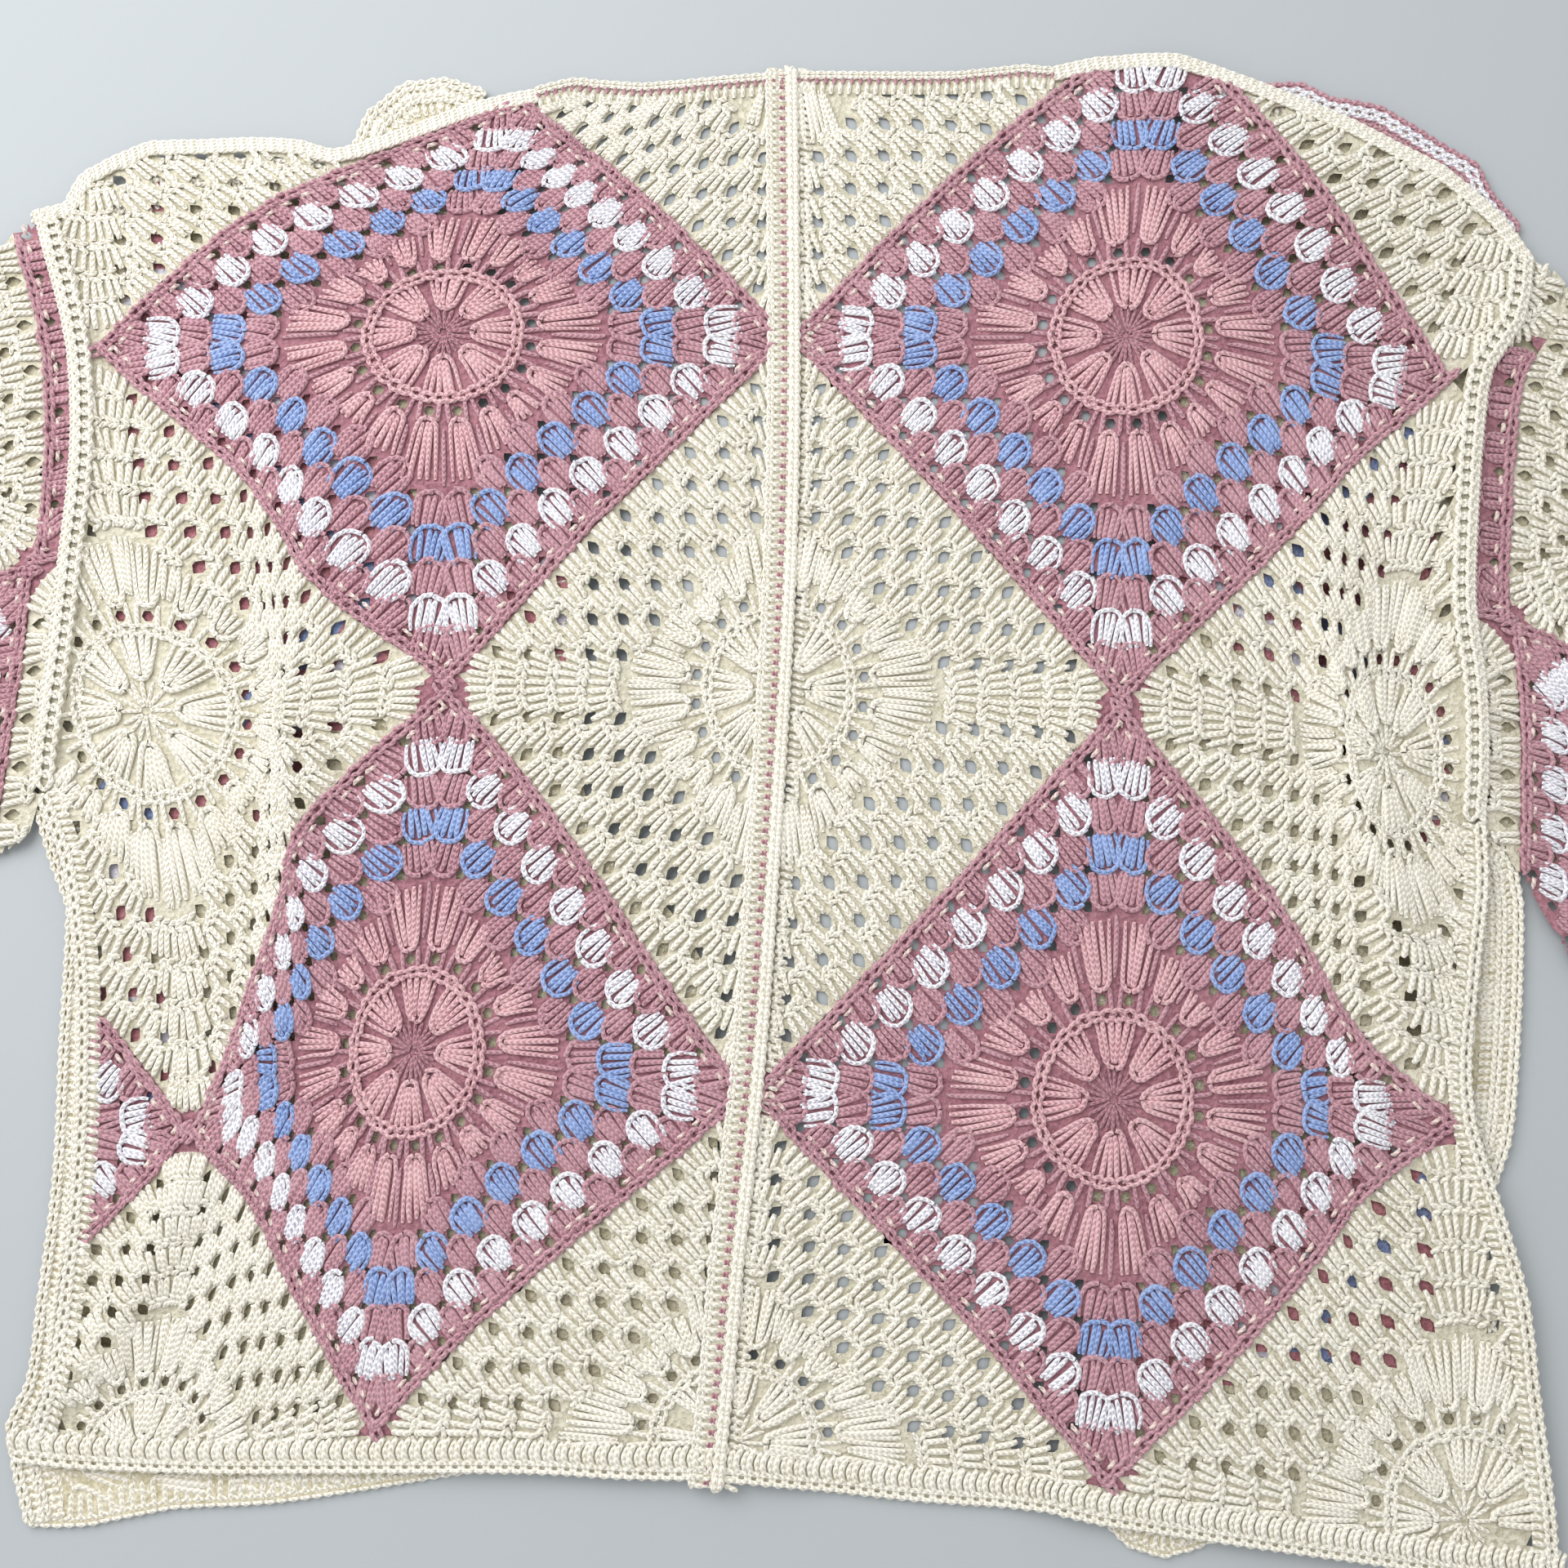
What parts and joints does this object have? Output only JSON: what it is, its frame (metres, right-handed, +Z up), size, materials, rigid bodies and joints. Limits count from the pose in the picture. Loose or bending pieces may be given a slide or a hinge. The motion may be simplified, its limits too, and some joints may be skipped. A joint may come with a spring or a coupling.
{
  "type": "crochet cardigan",
  "caption": "Open-front crochet cardigan of granny squares set on their points, lying flat with its back up, with wide sleeves and ribbed edges.",
  "frame": {"origin": "middle of the garment's box, on the surface it lies on", "axes": "+Z up off the surface, +X along the spread sleeves to the picture's right, +Y to the neck"},
  "size_m": [1.327, 0.5946, 0.0135],
  "materials": {
    "cream_cotton": "matte crochet cotton yarn",
    "rose_cotton": "matte crochet cotton yarn"
  },
  "bodies": {
    "root": {"armhole_border_left": "cream_cotton", "armhole_border_right": "cream_cotton", "centre_back_border": "cream_cotton", "cuff_rib_under_left": "cream_cotton", "cuff_rib_under_right": "cream_cotton", "cuff_rib_upper_left": "cream_cotton", "cuff_rib_upper_right": "cream_cotton", "front_edge_border_left": "cream_cotton", "front_edge_border_right": "cream_cotton", "front_hem_rib_left": "cream_cotton", "front_hem_rib_right": "cream_cotton", "front_left": "cream_cotton", "front_right": "cream_cotton", "hem_rib_left": "cream_cotton", "hem_rib_right": "cream_cotton", "neck_border_left": "cream_cotton", "neck_border_right": "cream_cotton", "shoulder_border_left": "cream_cotton", "shoulder_border_right": "cream_cotton", "side_border_left": "cream_cotton", "side_border_right": "cream_cotton", "sleeve_under_left": "cream_cotton", "sleeve_under_right": "cream_cotton", "sleeve_upper_left": "cream_cotton", "sleeve_upper_right": "cream_cotton", "square_cream_centre_left": "cream_cotton", "square_cream_centre_right": "cream_cotton", "square_cream_corner_left": "cream_cotton", "square_cream_corner_right": "cream_cotton", "square_cream_hem_left": "cream_cotton", "square_cream_hem_right": "cream_cotton", "square_cream_neck_left": "cream_cotton", "square_cream_neck_right": "cream_cotton", "square_cream_shoulder_left": "cream_cotton", "square_cream_shoulder_right": "cream_cotton", "square_cream_side_left": "cream_cotton", "square_cream_side_right": "cream_cotton", "square_pink_low_left": "rose_cotton", "square_pink_low_right": "rose_cotton", "square_pink_side_left": "rose_cotton", "square_pink_top_left": "rose_cotton", "square_pink_top_right": "rose_cotton"}
  },
  "joints": []
}
